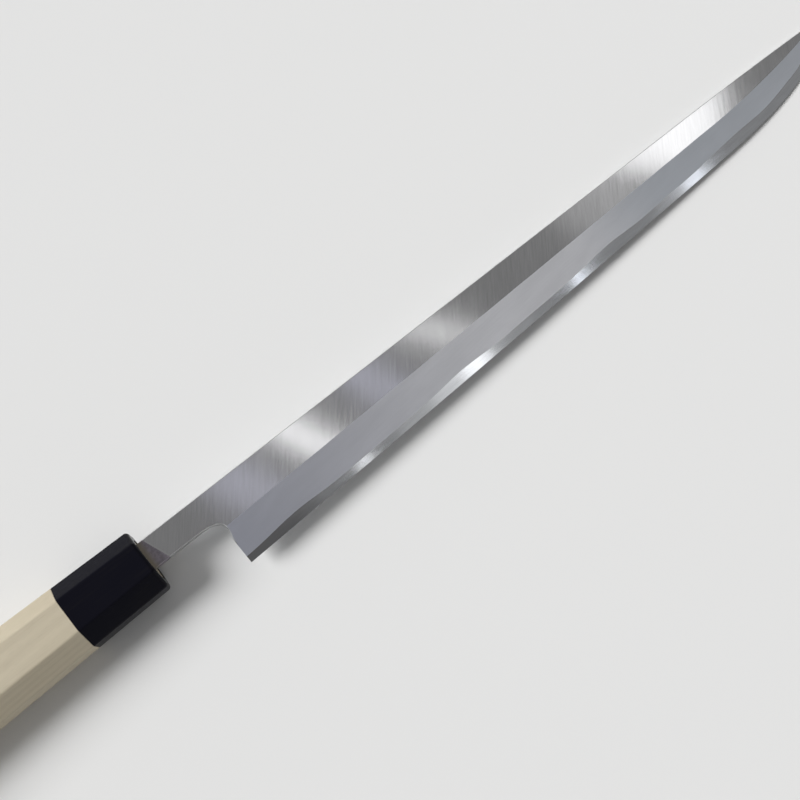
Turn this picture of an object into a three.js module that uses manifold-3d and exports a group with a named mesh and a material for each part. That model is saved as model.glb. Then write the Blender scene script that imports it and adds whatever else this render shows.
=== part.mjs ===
// Long single-bevel knife for slicing tuna, with an octagonal wooden handle and a horn ferrule.
// The blade is two metals forge-welded together: soft iron over a layer of hard steel that carries the edge.
// Its tang runs back through the ferrule into the handle.
//
// Frame, in millimetres: +X runs from the butt along the handle's axis to the tip, +Y points to the spine,
// +Z points out of the bevelled face. The origin is the centre of the butt end.
import * as THREE from "three";
import { mergeVertices } from "three/addons/utils/BufferGeometryUtils.js";
import Module from "manifold-3d";

const wasm = await Module();
wasm.setup();

// Handle and ferrule: heights run along Y, widths along Z.
const HANDLE_LENGTH = 200; // butt end to the front of the ferrule
const FERRULE_LENGTH = 38.5;
const FRONT_HEIGHT = 30.3;
const FRONT_WIDTH = 25.8;
const FRONT_CHAMFER = 7.7; // leg of the octagon's corner facets at the front
const BUTT_HEIGHT = 36.3;
const BUTT_WIDTH = 30.8;
const BUTT_CHAMFER = 7.7; // the same at the butt
const BUTT_EASE = 1.2; // broken edge round the butt end
const RIM_ROUND = 1.8; // rounding of the ferrule's front rim
const RIM_STEPS = 4;

// Wooden tenon that carries the ferrule.
const TENON_DIAMETER = 21;
const TENON_CLEARANCE = 0.3; // radial, filled with glue on the real handle
const TENON_SETBACK = 0.4; // end of the tenon behind the ferrule's front face
const ROUND_SIDES = 48;

// Blade outline: lengths run from the heel, heights hang down from the spine.
const BLADE_LENGTH = 450; // heel to tip
const HEEL_HEIGHT = 38;
const SWEEP_LENGTH = 114; // stretch behind the tip where the edge sweeps up
const SWEEP_HEIGHT = 30.3; // height of the blade where the sweep starts
const EDGE_BELLY = 0.6; // sag of the edge below a straight line from the heel to the sweep
const TIP_DROP = 1.8; // tip below the line of the spine
const TIP_RISE = 17; // rise and reach of the line on which the edge comes to the tip
const TIP_REACH = 21;
const SPINE_RISE = 8.7; // spine above the handle's axis
const SPINE_DROP_LENGTH = 110; // stretch where the spine falls to the tip

// Blade section.
const SPINE_THICKNESS = 4.4;
const TIP_THICKNESS = 1.6;
const EDGE_THICKNESS = 0.2;
const FLAT_HEEL_HEIGHT = 18.9; // flat face above the bevel, at the heel
const FLAT_SWEEP_HEIGHT = 12.8; // the same where the sweep starts
const FLAT_RUN_OUT = 7; // where the bevel's upper line meets the spine, behind the tip
const HOLLOW_DEPTH = 0.4; // hollow grind of the back face
const HOLLOW_SPINE_RIM = 3.2; // flat rims left round the hollow
const HOLLOW_EDGE_RIM = 2.4;
const HOLLOW_HEEL_RIM = 5;
const HOLLOW_TIP_RIM = 26;

// Weld between the iron and the steel.
const STEEL_HEEL_THICKNESS = 1.0;
const STEEL_TIP_THICKNESS = 0.76;
const SWELL_HEIGHT = 0.12; // forged waves in the weld, long, middling and short
const SWELL_LENGTH = 104;
const WAVE_HEIGHT = 0.06;
const WAVE_LENGTH = 52;
const RIPPLE_HEIGHT = 0.02;
const RIPPLE_LENGTH = 36;
const FIRST_CREST = 29; // crest of the waves nearest the heel
const WELD_STEP = 2.5;
const SCARF_LENGTH = 12; // the steel thins out over this length in the neck
const SCARF_START = 20; // where it ends, behind the heel

// Neck and tang.
const NECK_LENGTH = 33.3; // ferrule to heel
const NECK_HEIGHT = 13.7;
const CHOIL_LENGTH = 12; // where the neck starts to curve down, behind the heel
const CHOIL_UNDERCUT = 1.0; // deepest point of the notch, ahead of the heel
const CHOIL_CREST_DROP = 6; // that point below the neck
const CHOIL_DROP = 13; // where the notch runs into the heel, below the neck
const CHOIL_FULLNESS = 0.7; // how far the notch's curve leans into its corner
const TANG_LENGTH = 125; // inside the handle
const TANG_END_HEIGHT = 7;
const TANG_END_THICKNESS = 2.6;
const TANG_CLEARANCE = 0.3;

// Steps along the blade's curves.
const STRAIGHT_STEPS = 12;
const SWEEP_STEPS = 36;
const RULING_STEPS = 4; // across the bevel
const HOLLOW_STEPS = 48;
const HOLLOW_ARC_STEPS = 10;
const CHOIL_STEPS = 12;

// Spare length by which a cutting block passes the work.
const OVERRUN = 6;
// Length by which one solid runs into the next before they are joined.
const LAP = 1;

const frontX = HANDLE_LENGTH;
const jointX = HANDLE_LENGTH - FERRULE_LENGTH;
const heelX = HANDLE_LENGTH + NECK_LENGTH;
const backZ = -SPINE_THICKNESS / 2;

// Solids and meshes

function solidOf(geometry) {
  const bare = new THREE.BufferGeometry();
  bare.setAttribute("position", geometry.getAttribute("position"));
  if (geometry.index) bare.setIndex(geometry.index);
  const merged = mergeVertices(bare, 1e-4);
  const vertProperties = merged.getAttribute("position").array;
  const triVerts = new Uint32Array(merged.index.array);
  return new wasm.Manifold(new wasm.Mesh({ numProp: 3, vertProperties, triVerts }));
}

function geometryOf(solid) {
  const made = solid.getMesh();
  const geometry = new THREE.BufferGeometry();
  geometry.setAttribute("position", new THREE.BufferAttribute(made.vertProperties, 3));
  geometry.setIndex(new THREE.BufferAttribute(made.triVerts, 1));
  geometry.computeVertexNormals();
  return geometry;
}

// A closed solid through rings of equally many points.
// Each ring is convex and turns to the left, seen from the last one.
function loft(rings) {
  const sides = rings[0].length;
  const positions = rings.flat().flatMap((p) => [p.x, p.y, p.z]);
  const index = [];
  for (let ring = 0; ring + 1 < rings.length; ring++) {
    for (let side = 0; side < sides; side++) {
      const next = (side + 1) % sides;
      const here = ring * sides;
      const ahead = here + sides;
      index.push(here + side, here + next, ahead + next);
      index.push(here + side, ahead + next, ahead + side);
    }
  }
  const last = (rings.length - 1) * sides;
  for (let side = 1; side + 1 < sides; side++) {
    index.push(0, side + 1, side);
    index.push(last, last + side, last + side + 1);
  }
  const geometry = new THREE.BufferGeometry();
  geometry.setAttribute("position", new THREE.Float32BufferAttribute(positions, 3));
  geometry.setIndex(index);
  return solidOf(geometry);
}

// A block whose outline lies in the XZ plane, reaching the same distance to both sides along Y.
function blockAcross(points, reach) {
  const outline = new THREE.Shape(points.map(([x, z]) => new THREE.Vector2(x, z)));
  const geometry = new THREE.ExtrudeGeometry(outline, { depth: 2 * reach, bevelEnabled: false });
  geometry.translate(0, 0, -reach);
  geometry.rotateX(Math.PI / 2);
  return solidOf(geometry);
}

function cylinderAlongX(radius, startX, endX) {
  const geometry = new THREE.CylinderGeometry(radius, radius, endX - startX, ROUND_SIDES);
  geometry.rotateZ(-Math.PI / 2);
  geometry.translate((startX + endX) / 2, 0, 0);
  return solidOf(geometry);
}

// Handle

// Octagon of the handle at a distance from the butt, drawn in on every side by an inset.
function octagonRing(x, inset) {
  const share = x / HANDLE_LENGTH;
  const halfHeight = THREE.MathUtils.lerp(BUTT_HEIGHT, FRONT_HEIGHT, share) / 2 - inset;
  const halfWidth = THREE.MathUtils.lerp(BUTT_WIDTH, FRONT_WIDTH, share) / 2 - inset;
  const chamfer = THREE.MathUtils.lerp(BUTT_CHAMFER, FRONT_CHAMFER, share) - inset * (2 - Math.SQRT2);
  const y = halfHeight - chamfer;
  const z = halfWidth - chamfer;
  const corners = [
    [y, halfWidth],
    [-y, halfWidth],
    [-halfHeight, z],
    [-halfHeight, -z],
    [-y, -halfWidth],
    [y, -halfWidth],
    [halfHeight, -z],
    [halfHeight, z],
  ];
  return corners.map(([cornerY, cornerZ]) => new THREE.Vector3(x, cornerY, cornerZ));
}

// The tang's tapered shape, grown by a clearance: the tang itself, and the slot burnt into the wood for it.
function tangSolid(clearance, forward) {
  const rectangle = (x, top, bottom, thickness) => [
    new THREE.Vector3(x, bottom - clearance, -thickness / 2 - clearance),
    new THREE.Vector3(x, top + clearance, -thickness / 2 - clearance),
    new THREE.Vector3(x, top + clearance, thickness / 2 + clearance),
    new THREE.Vector3(x, bottom - clearance, thickness / 2 + clearance),
  ];
  const neckBottom = SPINE_RISE - NECK_HEIGHT;
  const halfEnd = TANG_END_HEIGHT / 2;
  return loft([
    rectangle(frontX - TANG_LENGTH - clearance, halfEnd, -halfEnd, TANG_END_THICKNESS),
    rectangle(frontX, SPINE_RISE, neckBottom, SPINE_THICKNESS),
    rectangle(frontX + forward, SPINE_RISE, neckBottom, SPINE_THICKNESS),
  ]);
}

function handleBody() {
  const body = loft([octagonRing(0, BUTT_EASE), octagonRing(BUTT_EASE, 0), octagonRing(jointX, 0)]);
  const tenon = cylinderAlongX(TENON_DIAMETER / 2, jointX - LAP, frontX - TENON_SETBACK);
  return body.add(tenon).subtract(tangSolid(TANG_CLEARANCE, OVERRUN));
}

function hornFerrule() {
  const rings = [octagonRing(jointX, 0)];
  for (let step = 0; step <= RIM_STEPS; step++) {
    const turn = (step / RIM_STEPS) * (Math.PI / 2);
    const x = frontX - RIM_ROUND * (1 - Math.sin(turn));
    rings.push(octagonRing(x, RIM_ROUND * (1 - Math.cos(turn))));
  }
  const boreRadius = TENON_DIAMETER / 2 + TENON_CLEARANCE;
  const bore = cylinderAlongX(boreRadius, jointX - OVERRUN, frontX + OVERRUN);
  return loft(rings).subtract(bore).subtract(tangSolid(TANG_CLEARANCE, OVERRUN));
}

// Blade

// Points on the blade are given as a length from the heel and a height above the spine, negative below it.
const onBlade = (length, height, z) => new THREE.Vector3(heelX + length, SPINE_RISE + height, z);

const tip = new THREE.Vector2(BLADE_LENGTH, -TIP_DROP);
const sweepStart = new THREE.Vector2(BLADE_LENGTH - SWEEP_LENGTH, -SWEEP_HEIGHT);

function edgeCurves() {
  const heel = new THREE.Vector2(0, -HEEL_HEIGHT);
  const sag = heel.clone().lerp(sweepStart, 0.5).sub(new THREE.Vector2(0, 2 * EDGE_BELLY));
  const straight = new THREE.QuadraticBezierCurve(heel, sag, sweepStart);
  const slope = (sweepStart.y - sag.y) / (sweepStart.x - sag.x);
  const lead = SWEEP_LENGTH / 2;
  const leave = new THREE.Vector2(sweepStart.x + lead, sweepStart.y + lead * slope);
  const arrive = new THREE.Vector2(tip.x - TIP_REACH, tip.y - TIP_RISE);
  return [straight, new THREE.CubicBezierCurve(sweepStart, leave, arrive, tip)];
}

// Upper line of the bevel, from the heel to where it runs out at the spine.
function ridgeCurves() {
  const heel = new THREE.Vector2(0, -FLAT_HEEL_HEIGHT);
  const middle = new THREE.Vector2(sweepStart.x, -FLAT_SWEEP_HEIGHT);
  const runOut = new THREE.Vector2(BLADE_LENGTH - FLAT_RUN_OUT, spineHeight(BLADE_LENGTH - FLAT_RUN_OUT));
  const slope = (middle.y - heel.y) / (middle.x - heel.x);
  const lead = (runOut.x - middle.x) / 2;
  const leave = new THREE.Vector2(middle.x + lead, middle.y + lead * slope);
  return [new THREE.LineCurve(heel, middle), new THREE.QuadraticBezierCurve(middle, leave, runOut)];
}

// The spine is straight and then falls to the tip on a parabola.
function spineHeight(length) {
  const past = Math.max(0, length - (BLADE_LENGTH - SPINE_DROP_LENGTH));
  return -TIP_DROP * (past / SPINE_DROP_LENGTH) ** 2;
}

// Thickness of the blade under the flat face, thinning evenly from heel to tip.
const bladeThickness = (length) =>
  THREE.MathUtils.lerp(SPINE_THICKNESS, TIP_THICKNESS, length / BLADE_LENGTH);

function edgePoints() {
  const [straight, sweep] = edgeCurves();
  return [...straight.getPoints(STRAIGHT_STEPS), ...sweep.getPoints(SWEEP_STEPS).slice(1)];
}

function ridgePoints() {
  const [straight, sweep] = ridgeCurves();
  return [...straight.getPoints(STRAIGHT_STEPS), ...sweep.getPoints(SWEEP_STEPS).slice(1)];
}

// Notch in front of the finger: the neck curves down into a small undercut and back out to the heel.
function choilPoints() {
  const start = new THREE.Vector2(-CHOIL_LENGTH, -NECK_HEIGHT);
  const crest = new THREE.Vector2(CHOIL_UNDERCUT, -NECK_HEIGHT - CHOIL_CREST_DROP);
  const end = new THREE.Vector2(0, -NECK_HEIGHT - CHOIL_DROP);
  const corner = new THREE.Vector2(CHOIL_UNDERCUT, -NECK_HEIGHT);
  const leave = start.clone().lerp(corner, CHOIL_FULLNESS);
  const arrive = crest.clone().lerp(corner, CHOIL_FULLNESS);
  const inward = new THREE.CubicBezierCurve(start, leave, arrive, crest);
  const half = (crest.y + end.y) / 2;
  const turn = new THREE.Vector2(crest.x, half);
  const settle = new THREE.Vector2(end.x, half);
  const outward = new THREE.CubicBezierCurve(crest, turn, settle, end);
  return [...inward.getPoints(CHOIL_STEPS), ...outward.getPoints(CHOIL_STEPS).slice(1)];
}

// Flat blank with the blade's and neck's outline, before any grinding.
function blank() {
  const outline = new THREE.Shape();
  outline.moveTo(-NECK_LENGTH, 0);
  outline.lineTo(-NECK_LENGTH, -NECK_HEIGHT);
  choilPoints().forEach((p) => outline.lineTo(p.x, p.y));
  edgePoints().forEach((p) => outline.lineTo(p.x, p.y));
  for (let step = SWEEP_STEPS - 1; step >= 0; step--) {
    const length = BLADE_LENGTH - SPINE_DROP_LENGTH * (1 - step / SWEEP_STEPS);
    outline.lineTo(length, spineHeight(length));
  }
  const geometry = new THREE.ExtrudeGeometry(outline, { depth: SPINE_THICKNESS, bevelEnabled: false });
  geometry.translate(heelX, SPINE_RISE, backZ);
  return solidOf(geometry);
}

// What the grindstone takes off the front to thin the blade towards the tip.
function taperCut() {
  const farLength = BLADE_LENGTH + OVERRUN;
  const clear = SPINE_THICKNESS / 2 + OVERRUN;
  const points = [
    [heelX, SPINE_THICKNESS / 2],
    [heelX + farLength, backZ + bladeThickness(farLength)],
    [heelX + farLength, clear],
    [heelX, clear],
  ];
  return blockAcross(points, HEEL_HEIGHT + SPINE_RISE + OVERRUN);
}

// What the grindstone takes off for the bevel: a ruled cut from the ridge down to the edge.
function bevelCut() {
  const spareShare = 0.12; // of each straight line from ridge to edge, past both its ends
  const edge = edgePoints();
  const ridge = ridgePoints();
  const top = SPINE_THICKNESS / 2 + OVERRUN;
  const rings = edge.map((low, i) => {
    const ridgeZ = backZ + bladeThickness(ridge[i].x);
    const lower = onBlade(low.x, low.y, backZ + EDGE_THICKNESS);
    const upper = onBlade(ridge[i].x, ridge[i].y, ridgeZ);
    const below = lower.clone().lerp(upper, -spareShare);
    const above = upper.clone().lerp(lower, -spareShare);
    const ring = [new THREE.Vector3(above.x, above.y, top), new THREE.Vector3(below.x, below.y, top)];
    for (let step = 0; step <= RULING_STEPS; step++) {
      ring.push(below.clone().lerp(above, step / RULING_STEPS));
    }
    return ring;
  });
  const behindHeel = rings[0].map((p) => p.clone().add(new THREE.Vector3(-CHOIL_LENGTH, 0, 0)));
  const pastTip = rings.at(-1).map((p) => p.clone().add(new THREE.Vector3(OVERRUN, OVERRUN / 4, 0)));
  return loft([behindHeel, ...rings, pastTip]);
}

// Shallow trough ground into the back face, fading out at the heel and at the tip.
function hollowCut() {
  const edge = edgePoints();
  const heightAt = (length) => {
    const i = Math.max(1, edge.findIndex((p) => p.x >= length));
    const share = (length - edge[i - 1].x) / (edge[i].x - edge[i - 1].x);
    return THREE.MathUtils.lerp(edge[i - 1].y, edge[i].y, share);
  };
  const start = HOLLOW_HEEL_RIM;
  const end = BLADE_LENGTH - HOLLOW_TIP_RIM;
  const floorZ = backZ - OVERRUN;
  const rings = [];
  for (let step = 0; step <= HOLLOW_STEPS; step++) {
    const share = step / HOLLOW_STEPS;
    const length = THREE.MathUtils.lerp(start, end, share);
    const depth = HOLLOW_DEPTH * Math.sqrt(Math.abs(Math.sin(Math.PI * share)));
    const high = spineHeight(length) - HOLLOW_SPINE_RIM;
    const low = heightAt(length) + HOLLOW_EDGE_RIM;
    const ring = [onBlade(length, high, floorZ)];
    for (let arc = 0; arc <= HOLLOW_ARC_STEPS; arc++) {
      const across = arc / HOLLOW_ARC_STEPS;
      const rise = 4 * across * (1 - across);
      ring.push(onBlade(length, THREE.MathUtils.lerp(high, low, across), backZ + depth * rise));
    }
    ring.push(onBlade(length, low, floorZ));
    rings.push(ring);
  }
  return loft(rings);
}

// Height of the weld above the back face: an even layer with the waves that forging leaves.
function weldHeight(length) {
  const layer = THREE.MathUtils.lerp(STEEL_HEEL_THICKNESS, STEEL_TIP_THICKNESS, length / BLADE_LENGTH);
  const thinning = bladeThickness(length) / SPINE_THICKNESS;
  const wave = (height, span) => height * Math.cos((2 * Math.PI * (length - FIRST_CREST)) / span);
  const swell = wave(SWELL_HEIGHT, SWELL_LENGTH);
  return layer + thinning * (swell + wave(WAVE_HEIGHT, WAVE_LENGTH) + wave(RIPPLE_HEIGHT, RIPPLE_LENGTH));
}

// Everything on the steel's side of the weld.
function steelSide() {
  const steps = Math.round(BLADE_LENGTH / WELD_STEP);
  const floorZ = backZ - OVERRUN;
  const scarfEnd = heelX - SCARF_START + SCARF_LENGTH;
  const points = [
    [heelX - SCARF_START, floorZ],
    [heelX - SCARF_START, backZ],
    [scarfEnd, backZ + STEEL_HEEL_THICKNESS],
  ];
  for (let step = 0; step <= steps; step++) {
    const length = (BLADE_LENGTH * step) / steps;
    points.push([heelX + length, backZ + weldHeight(length)]);
  }
  points.push([heelX + BLADE_LENGTH + OVERRUN, backZ + STEEL_TIP_THICKNESS]);
  points.push([heelX + BLADE_LENGTH + OVERRUN, floorZ]);
  return blockAcross(points.reverse(), HEEL_HEIGHT + SPINE_RISE + OVERRUN);
}

function groundBlade() {
  return blank().subtract(taperCut()).subtract(bevelCut()).subtract(hollowCut());
}

// Assembly

function part(name, solid, colour, roughness, metalness) {
  const material = new THREE.MeshStandardMaterial({ color: colour, roughness, metalness });
  const mesh = new THREE.Mesh(geometryOf(solid), material);
  mesh.name = name;
  return mesh;
}

const blade = groundBlade();
const steel = steelSide();
const iron = blade.subtract(steel).add(tangSolid(0, LAP));

const knife = new THREE.Group();
knife.name = "tuna_knife";
knife.add(part("blade_iron", iron, 0x9a9ba0, 0.4, 1));
knife.add(part("blade_steel", blade.intersect(steel), 0xc4c7cb, 0.18, 1));
knife.add(part("horn_ferrule", hornFerrule(), 0x17171b, 0.25, 0));
knife.add(part("handle_body", handleBody(), 0xbcb29b, 0.65, 0));

export default knife;
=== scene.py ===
"""A long single-bevel knife for slicing tuna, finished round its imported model.

Four pieces are made: the iron body of the blade, its hard-steel layer, the horn ferrule and the
wooden handle.
Sizes are in metres, in the model's frame: +X runs to the tip, +Y to the spine, +Z out of the bevelled face.
"""
import math
from contextlib import contextmanager

import bmesh
import bpy
from bpy.props import FloatProperty, FloatVectorProperty, PointerProperty
from bpy.types import Operator, Panel, PropertyGroup
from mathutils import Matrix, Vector


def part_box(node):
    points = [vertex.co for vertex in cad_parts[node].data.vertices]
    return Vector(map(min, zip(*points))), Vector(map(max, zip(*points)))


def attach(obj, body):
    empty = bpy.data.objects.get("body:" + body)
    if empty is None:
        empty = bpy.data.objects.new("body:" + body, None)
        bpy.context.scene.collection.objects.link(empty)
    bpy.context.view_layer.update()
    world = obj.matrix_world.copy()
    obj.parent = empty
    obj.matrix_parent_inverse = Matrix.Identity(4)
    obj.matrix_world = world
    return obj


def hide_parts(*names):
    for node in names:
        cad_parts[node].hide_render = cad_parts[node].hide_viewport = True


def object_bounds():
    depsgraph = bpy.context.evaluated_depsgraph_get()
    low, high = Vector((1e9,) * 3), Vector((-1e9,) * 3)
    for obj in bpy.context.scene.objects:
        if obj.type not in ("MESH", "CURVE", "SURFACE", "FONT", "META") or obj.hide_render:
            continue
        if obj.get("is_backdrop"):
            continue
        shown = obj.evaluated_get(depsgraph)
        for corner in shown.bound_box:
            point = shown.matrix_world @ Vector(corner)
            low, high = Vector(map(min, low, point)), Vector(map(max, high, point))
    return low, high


bl_info = {
    "name": "Tuna Knife",
    "version": (1, 0, 0),
    "blender": (4, 5, 0),
    "location": "View3D > Sidebar > Knife",
    "description": "Finishes the blade, the ferrule and the handle of a tuna knife and sets its stage",
    "category": "Object",
}

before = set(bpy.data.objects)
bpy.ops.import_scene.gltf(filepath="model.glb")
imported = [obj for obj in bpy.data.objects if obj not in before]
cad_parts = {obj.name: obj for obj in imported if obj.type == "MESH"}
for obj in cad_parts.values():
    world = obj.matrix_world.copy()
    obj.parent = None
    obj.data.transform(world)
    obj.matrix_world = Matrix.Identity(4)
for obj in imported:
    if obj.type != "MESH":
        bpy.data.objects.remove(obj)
CAD_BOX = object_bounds()
MM = 0.001

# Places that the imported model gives
HANDLE_LOW, HANDLE_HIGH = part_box("handle_body")
FERRULE_LOW, FERRULE_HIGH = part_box("horn_ferrule")
IRON_LOW, IRON_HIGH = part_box("blade_iron")
STEEL_LOW, STEEL_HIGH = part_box("blade_steel")
BUTT_X = HANDLE_LOW.x
JOINT_X = FERRULE_LOW.x
FRONT_X = FERRULE_HIGH.x
TIP_X = STEEL_HIGH.x
SPINE_Y = IRON_HIGH.y
BACK_Z = STEEL_LOW.z
FACE_Z = IRON_HIGH.z
SPINE_THICKNESS = FACE_Z - BACK_Z
BUTT_SIZE = Vector((HANDLE_HIGH.y - HANDLE_LOW.y, HANDLE_HIGH.z - HANDLE_LOW.z))
JOINT_SIZE = Vector((FERRULE_HIGH.y - FERRULE_LOW.y, FERRULE_HIGH.z - FERRULE_LOW.z))
FRONT_SIZE = BUTT_SIZE + (JOINT_SIZE - BUTT_SIZE) * (FRONT_X - BUTT_X) / (JOINT_X - BUTT_X)

# Blade outline, as the model has it
NECK_LENGTH = 33.3 * MM
NECK_HEIGHT = 13.7 * MM
NOTCH_LENGTH = 12 * MM  # where the neck starts to curve down, behind the heel
NOTCH_DROP = 13 * MM  # where the notch runs into the heel, below the neck
TIP_THICKNESS = 1.6 * MM
TIP_DROP = 1.8 * MM
SPINE_DROP_LENGTH = 110 * MM
TANG_LENGTH = 125 * MM
TANG_END_SIZE = Vector((7 * MM, 2.6 * MM))
TANG_END_X = IRON_LOW.x
HEEL_X = FRONT_X + NECK_LENGTH
FACE_TAPER = (SPINE_THICKNESS - TIP_THICKNESS) / (TIP_X - HEEL_X)

# Working tolerances
SAME_PLACE = 0.01 * MM
LOOSE_PLACE = 0.05 * MM  # for points on the flats of a round or on a curve
NOTCH_SLACK = 0.1 * MM  # past the ends of the stretch whose edges are rounded
MERGE_DISTANCE = 0.001 * MM
CUT_TOLERANCE = 0.0001 * MM
FLAT_ANGLE = math.radians(0.05)
SMOOTH_ANGLE = math.radians(40)
HOLLOW_CREASE = math.radians(1.5)
ARRIS_ANGLE = math.radians(25)
ALONG_SHARE = 0.98  # a long edge runs along X for at least this share of its length
ACROSS_SHARE = 0.02  # and an edge across the handle for at most this
CUTTER_REACH = 5 * MM  # how far a rod runs on past the piece that it meets
PAST_HEEL = 3 * MM  # how far the rounding of the notch may run on in front of the heel

# Steps that make up rounded shapes
ROD_SIDES = 96
ROUND_STEPS = 3
RIM_STEPS = 6
BUTT_STEPS = 5
MOUTH_STEPS = 2
ARC_FLATS = 3  # along a rounded long edge of the spine
SPINE_STATIONS = 6  # along the spine's fall to the tip

# How the blade's faces are told apart, by the parts of their outward directions
SQUARE_ON = 0.9  # a face of the flat or the back looks almost straight out
FLAT_LEAN = 0.02  # the flat leans less than this across the blade, and the bevel more
FLAT_TAPER_LEAN = 0.05  # the flat leans less than this along the blade
BEVEL_LEAN = 0.24  # the bevel leans less than this at the heel
TIP_BEVEL_LEAN = 0.7  # and less than this towards the tip
BEVEL_OUT = 0.6  # it looks out at least this much
BEVEL_BACK = 0.1  # and back at most this much
SIDEWAYS = 0.3  # a side face looks out less than this, and down or back more
EDGE_START = 1 * MM  # where the thin edge face starts, in front of the heel
END_ON = 0.8  # a wooden face that looks along the handle more than this shows end grain

# Order of the finishes on the iron body, on the steel layer and on the handle
IRON_FLAT, IRON_BEVEL, IRON_SIDES = range(3)
STEEL_EDGE, STEEL_BACK, STEEL_SIDES = range(3)
LONG_GRAIN, END_GRAIN = range(2)


# Sizes and colours that a user may change

def length(name, description, default):
    return FloatProperty(
        name=name, description=description, default=default, min=0, unit="LENGTH", precision=5
    )


def share(name, description, default):
    return FloatProperty(
        name=name, description=description, default=default, min=0, max=1, subtype="FACTOR"
    )


def colour(name, description, default):
    return FloatVectorProperty(
        name=name, description=description, default=default, size=3, min=0, max=1, subtype="COLOR"
    )


class KnifeBladeSettings(PropertyGroup):
    """Rounding and finish of the blade's two metals."""

    spine_round: length("Spine round", "Rounding of the spine's long edges", 0.55 * MM)
    notch_round: length("Notch round", "Rounding of the neck's lower edge and the finger notch", 0.4 * MM)
    back_round: length("Back round", "Rounding of the notch on the back face", 0.3 * MM)
    streak_turn: FloatProperty(
        name="Streak turn",
        description="Lean of the polishing streaks on the flat, from the line of the spine",
        default=math.radians(51),
        subtype="ANGLE",
    )
    flat_colour: colour("Flat", "Polished iron above the bevel", (0.756, 0.756, 0.766))
    # The bevel's three colours are one hazy iron with painted light and shade: palest in the middle of its
    # length, painted darker at the heel and towards the tip.
    lit_bevel_colour: colour("Bevel", "Hazy iron of the bevel at mid-length", (0.74, 0.745, 0.777))
    heel_shade_colour: colour("Bevel at the heel", "Hazy iron of the bevel near the heel", (0.37, 0.382, 0.445))
    tip_shade_colour: colour("Bevel at the tip", "Hazy iron of the bevel towards the tip", (0.54, 0.567, 0.612))
    # The edge's steel is painted darker at the heel than further on: painted shade, not duller metal.
    steel_colour: colour("Steel", "Bright steel along the edge", (0.885, 0.905, 0.935))
    shaded_steel_colour: colour("Steel at the heel", "Duller steel of the edge at the heel", (0.38, 0.38, 0.39))
    side_colour: colour("Sides", "Spine, neck and notch", (0.66, 0.665, 0.67))
    dull_colour: colour("Dull band", "Unpolished iron in front of the ferrule", (0.44, 0.40, 0.455))
    stain_colour: colour("Stain", "Brown iron beside the ferrule", (0.40, 0.365, 0.315))
    flat_roughness: share("Flat roughness", "Roughness of the polished flat", 0.12)
    bevel_metal: share("Bevel metal", "How far the bevel shines like bare metal through its haze", 0.72)
    bevel_roughness: share("Bevel roughness", "Roughness of the hazy bevel", 0.52)
    steel_roughness: share("Steel roughness", "Roughness of the steel along the edge", 0.095)
    back_roughness: share("Back roughness", "Roughness of the hollow-ground back", 0.22)
    side_roughness: share("Side roughness", "Roughness of the spine and the neck", 0.30)


class KnifeHandleSettings(PropertyGroup):
    """Shape and wood of the handle."""

    corner_leg: length("Corner facet", "Leg of the corner facets", 7.7 * MM)
    arris_round: length("Arris round", "Rounding between the facets", 0.6 * MM)
    butt_round: length("Butt round", "Rounding round the butt end", 1.6 * MM)
    joint_ease: length("Joint ease", "Broken edge at the joint with the ferrule", 0.12 * MM)
    tenon_diameter: length("Tenon", "Diameter of the tenon inside the ferrule", 21 * MM)
    tenon_setback: length("Tenon setback", "End of the tenon behind the ferrule's front", 0.4 * MM)
    tang_clearance: length("Tang clearance", "Gap round the tang in its slot", 0.3 * MM)
    pale_colour: colour("Pale wood", "Early wood", (0.54, 0.478, 0.358))
    grain_colour: colour("Grain", "Late wood and fibres", (0.46, 0.40, 0.293))
    end_colour: colour("End grain", "Wood cut across at the butt", (0.44, 0.37, 0.255))
    tenon_colour: colour("Tenon end", "Soiled end grain of the tenon, round the neck", (0.40, 0.36, 0.28))
    burnt_colour: colour("Burnt slot", "Wood charred by the hot tang", (0.06, 0.04, 0.026))
    wood_roughness: share("Wood roughness", "Roughness of the sanded wood", 0.62)


class KnifeFerruleSettings(PropertyGroup):
    """Shape and horn of the ferrule."""

    arris_round: length("Arris round", "Rounding between the facets", 0.6 * MM)
    rim_round: length("Rim round", "Rounding of the front rim", 1.8 * MM)
    bore_clearance: length("Bore clearance", "Gap round the tenon", 0.3 * MM)
    bore_ease: length("Bore ease", "Broken edge of the bore", 0.25 * MM)
    horn_colour: colour("Horn", "Black horn", (0.0058, 0.0058, 0.0098))
    streak_colour: colour("Horn streaks", "Paler fibres in the horn", (0.0105, 0.0100, 0.0120))
    horn_roughness: share("Horn roughness", "Roughness of the polished horn", 0.22)
    horn_shine: share("Horn shine", "Strength of the horn's reflections", 0.05)


class KnifeStageSettings(PropertyGroup):
    """Floor, light and camera."""

    floor_colour: colour("Floor", "Pale floor", (0.78, 0.78, 0.775))
    horizon_level: share("Horizon", "Brightness of the surroundings at the horizon", 0.74)
    overhead_level: share("Overhead", "Brightness of the surroundings overhead", 0.22)
    horizon_height: share(
        "Horizon height", "Where the pale horizon has faded, as a share of straight up", 0.42
    )
    sun_strength: FloatProperty(
        name="Key light", description="Strength of the soft key light", default=3.6, min=0
    )
    sun_width: FloatProperty(
        name="Key width",
        description="Width of the soft key light",
        default=math.radians(30),
        subtype="ANGLE",
    )
    lamp_height: length("Strip lamps", "Height of the strip lamps above the blade", 1.0)
    camera_place: FloatVectorProperty(
        name="Camera",
        description="Place of the camera",
        default=(0.22400, -0.08680, 0.40304),
        subtype="XYZ",
    )
    camera_turn: FloatVectorProperty(
        name="Camera turn",
        description="Turn of the camera about X, Y and Z",
        default=[math.radians(turn) for turn in (17.394, -5.080, -40.851)],
        subtype="EULER",
    )
    lens: FloatProperty(name="Lens", description="Focal length for a 36 mm square frame", default=40.021)


# Editing

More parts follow.
